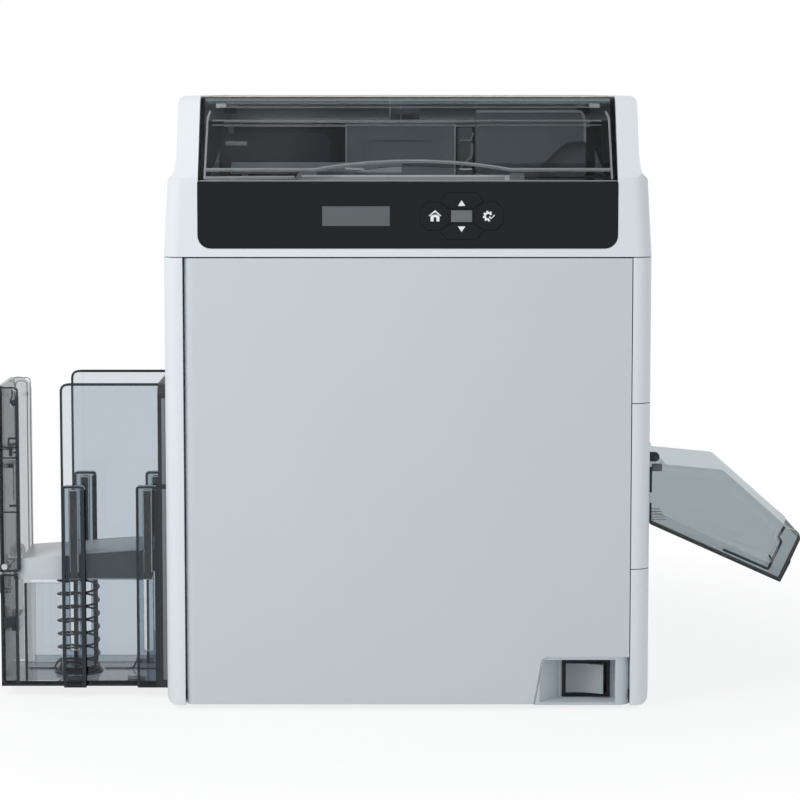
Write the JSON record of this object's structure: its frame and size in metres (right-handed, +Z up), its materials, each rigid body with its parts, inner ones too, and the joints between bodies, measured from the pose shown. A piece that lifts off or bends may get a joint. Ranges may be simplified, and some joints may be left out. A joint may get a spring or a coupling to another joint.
{
  "type": "id card printer",
  "caption": "Desktop ID card printer with a hinged front door, smoked top lid, clear spring-lifted card hopper and drop tray.",
  "frame": {"origin": "on the table, under the middle of the overall box (hopper and tray included)", "axes": "+X to the right seen from the door, +Y to the rear, +Z up"},
  "size_m": [0.5303, 0.35, 0.398],
  "materials": {
    "white_shell": "fine satin, injection moulded",
    "pale_plastic": "matte, injection moulded",
    "gloss_black": "high gloss",
    "dark_plastic": "matte",
    "grey_plastic": "matte",
    "smoked_clear": "smoked transparent plastic",
    "display": "clear window over a grey display",
    "sheet_steel": "zinc plated sheet",
    "steel_pin": "ground",
    "rubber": "matte",
    "hot_rubber": "silicone rubber",
    "board": "printed circuit board",
    "brass": "hobbed",
    "rocker": "satin",
    "label_plate": "bare plate",
    "ribbon": "wound colour ribbon",
    "film": "wound transfer film"
  },
  "bodies": {
    "printer_body": {"base_pan": "pale_plastic", "left_side_panel": "white_shell", "right_panel_lower": "white_shell", "right_panel_middle": "white_shell", "right_panel_upper": "white_shell", "rear_panel": "white_shell", "collar": "white_shell", "top_housing": "white_shell", "bay_deck": "dark_plastic", "feet": "rubber", "control_panel": "gloss_black", "display_window": "display", "status_light": "display", "keypad_board": "board", "door_hinges": "sheet_steel", "switch_recess": "pale_plastic", "power_switch": "gloss_black", "hinge_pins": "steel_pin", "bay_blocks": "grey_plastic", "bay_label_plate": "label_plate", "hopper_mount": "dark_plastic", "hopper_front_wall": "smoked_clear", "hopper_rear_wall": "smoked_clear", "hopper_base": "smoked_clear", "hopper_spring": "steel_pin", "exit_frame": "dark_plastic", "engine_front_plate": "sheet_steel", "engine_rear_plate": "sheet_steel", "drive_belt": "rubber", "drive_motor": "grey_plastic", "ribbon_cassette": "grey_plastic", "film_cassette": "grey_plastic", "main_board": "board", "power_supply": "sheet_steel", "rear_ports": "gloss_black", "fan_frame": "dark_plastic"},
    "door": {"front_door": "white_shell"},
    "lid": {"top_lid": "smoked_clear"},
    "up_key": {"key_up": "gloss_black"},
    "down_key": {"key_down": "gloss_black"},
    "home_key": {"key_home": "gloss_black"},
    "settings_key": {"key_settings": "gloss_black"},
    "rocker": {"power_rocker": "rocker"},
    "gate": {"hopper_gate": "smoked_clear"},
    "platform": {"hopper_platform": "pale_plastic"},
    "tray": {"output_tray": "smoked_clear"},
    "pick": {"pick_roller": "rubber"},
    "feed": {"feed_roller": "rubber"},
    "pinch": {"pinch_roller": "grey_plastic"},
    "pinion": {"motor_pinion": "brass"},
    "turner": {"turning_unit": "dark_plastic"},
    "heater": {"heat_roller": "hot_rubber"},
    "presser": {"pressure_roller": "rubber"},
    "platen": {"platen_roller": "rubber"},
    "head": {"thermal_head": "dark_plastic"},
    "ribbon_supply": {"ribbon_supply_spool": "ribbon"},
    "ribbon_take_up": {"ribbon_take_up_spool": "ribbon"},
    "film_supply": {"film_supply_spool": "film"},
    "film_take_up": {"film_take_up_spool": "film"},
    "fan": {"fan_rotor": "dark_plastic"}
  },
  "joints": [
    {"name": "door_swing", "type": "hinge", "parent": "printer_body", "child": "door", "pos_m": [-0.13315, -0.169, 0.15], "axis": [0, 0, -1], "range_deg": [0, 90]},
    {"name": "lid_swing", "type": "hinge", "parent": "printer_body", "child": "lid", "pos_m": [0.00485, 0.112, 0.3896], "axis": [-1, 0, 0], "range_deg": [0, 80]},
    {"name": "up_key_press", "type": "slide", "parent": "printer_body", "child": "up_key", "axis": [0, 1, 0], "range_m": [0, 0.0008], "stiffness_N_per_m": 1200, "springref_m": -0.0003},
    {"name": "down_key_press", "type": "slide", "parent": "printer_body", "child": "down_key", "axis": [0, 1, 0], "range_m": [0, 0.0008], "stiffness_N_per_m": 1200, "springref_m": -0.0003},
    {"name": "home_key_press", "type": "slide", "parent": "printer_body", "child": "home_key", "axis": [0, 1, 0], "range_m": [0, 0.0008], "stiffness_N_per_m": 1200, "springref_m": -0.0003},
    {"name": "settings_key_press", "type": "slide", "parent": "printer_body", "child": "settings_key", "axis": [0, 1, 0], "range_m": [0, 0.0008], "stiffness_N_per_m": 1200, "springref_m": -0.0003},
    {"name": "rocker_tilt", "type": "hinge", "parent": "printer_body", "child": "rocker", "pos_m": [0.12165, -0.159, 0.0182], "axis": [0, 0, 1], "range_deg": [0, 24]},
    {"name": "gate_swing", "type": "hinge", "parent": "printer_body", "child": "gate", "pos_m": [-0.26205, -0.103, 0.0875], "axis": [0, -1, 0], "range_deg": [0, 90]},
    {"name": "platform_lift", "type": "slide", "parent": "printer_body", "child": "platform", "axis": [0, 0, 1], "range_m": [-0.046, 0], "stiffness_N_per_m": 60, "springref_m": 0.03, "deforming": ["hopper_spring"]},
    {"name": "tray_lift", "type": "hinge", "parent": "printer_body", "child": "tray", "pos_m": [0.16785, -0.103, 0.161], "axis": [0, -1, 0], "range_deg": [0, 60]},
    {"name": "feed_spin", "type": "hinge", "parent": "printer_body", "child": "feed", "pos_m": [-0.10515, -0.103, 0.188], "axis": [0, 1, 0], "continuous": true},
    {"name": "pick_spin", "type": "hinge", "parent": "printer_body", "child": "pick", "pos_m": [-0.13615, -0.103, 0.2081], "axis": [0, 1, 0], "continuous": true},
    {"name": "pinch_spin", "type": "hinge", "parent": "printer_body", "child": "pinch", "pos_m": [-0.10515, -0.103, 0.208], "axis": [0, 1, 0], "continuous": true},
    {"name": "pinion_spin", "type": "hinge", "parent": "printer_body", "child": "pinion", "pos_m": [-0.10515, -0.103, 0.167], "axis": [0, 1, 0], "continuous": true},
    {"name": "card_turn", "type": "hinge", "parent": "printer_body", "child": "turner", "pos_m": [-0.03015, -0.103, 0.198], "axis": [0, 1, 0], "continuous": true},
    {"name": "heat_spin", "type": "hinge", "parent": "printer_body", "child": "heater", "pos_m": [0.07198, -0.103, 0.18807], "axis": [0, 1, 0], "continuous": true},
    {"name": "press_spin", "type": "hinge", "parent": "printer_body", "child": "presser", "pos_m": [0.06283, -0.103, 0.15615], "axis": [0, 1, 0], "continuous": true},
    {"name": "platen_spin", "type": "hinge", "parent": "printer_body", "child": "platen", "pos_m": [0.02685, -0.103, 0.083], "axis": [0, 1, 0], "continuous": true},
    {"name": "head_lift", "type": "hinge", "parent": "printer_body", "child": "head", "pos_m": [-0.01515, -0.103, 0.051], "axis": [0, -1, 0], "range_deg": [0, 8]},
    {"name": "ribbon_supply_spin", "type": "hinge", "parent": "printer_body", "child": "ribbon_supply", "pos_m": [-0.09415, -0.103, 0.115], "axis": [0, 1, 0], "continuous": true},
    {"name": "ribbon_take_up_spin", "type": "hinge", "parent": "printer_body", "child": "ribbon_take_up", "pos_m": [-0.09415, -0.103, 0.063], "axis": [0, 1, 0], "continuous": true},
    {"name": "film_supply_spin", "type": "hinge", "parent": "printer_body", "child": "film_supply", "pos_m": [0.10385, -0.103, 0.111], "axis": [0, 1, 0], "continuous": true},
    {"name": "film_take_up_spin", "type": "hinge", "parent": "printer_body", "child": "film_take_up", "pos_m": [0.10385, -0.103, 0.069], "axis": [0, 1, 0], "continuous": true},
    {"name": "fan_spin", "type": "hinge", "parent": "printer_body", "child": "fan", "pos_m": [-0.07515, 0.1644, 0.214], "axis": [0, 1, 0], "continuous": true}
  ],
  "couplings": [
    {"joint": "pick_spin", "follows": "feed_spin", "ratio": 1},
    {"joint": "pinion_spin", "follows": "feed_spin", "ratio": -2.5}
  ]
}
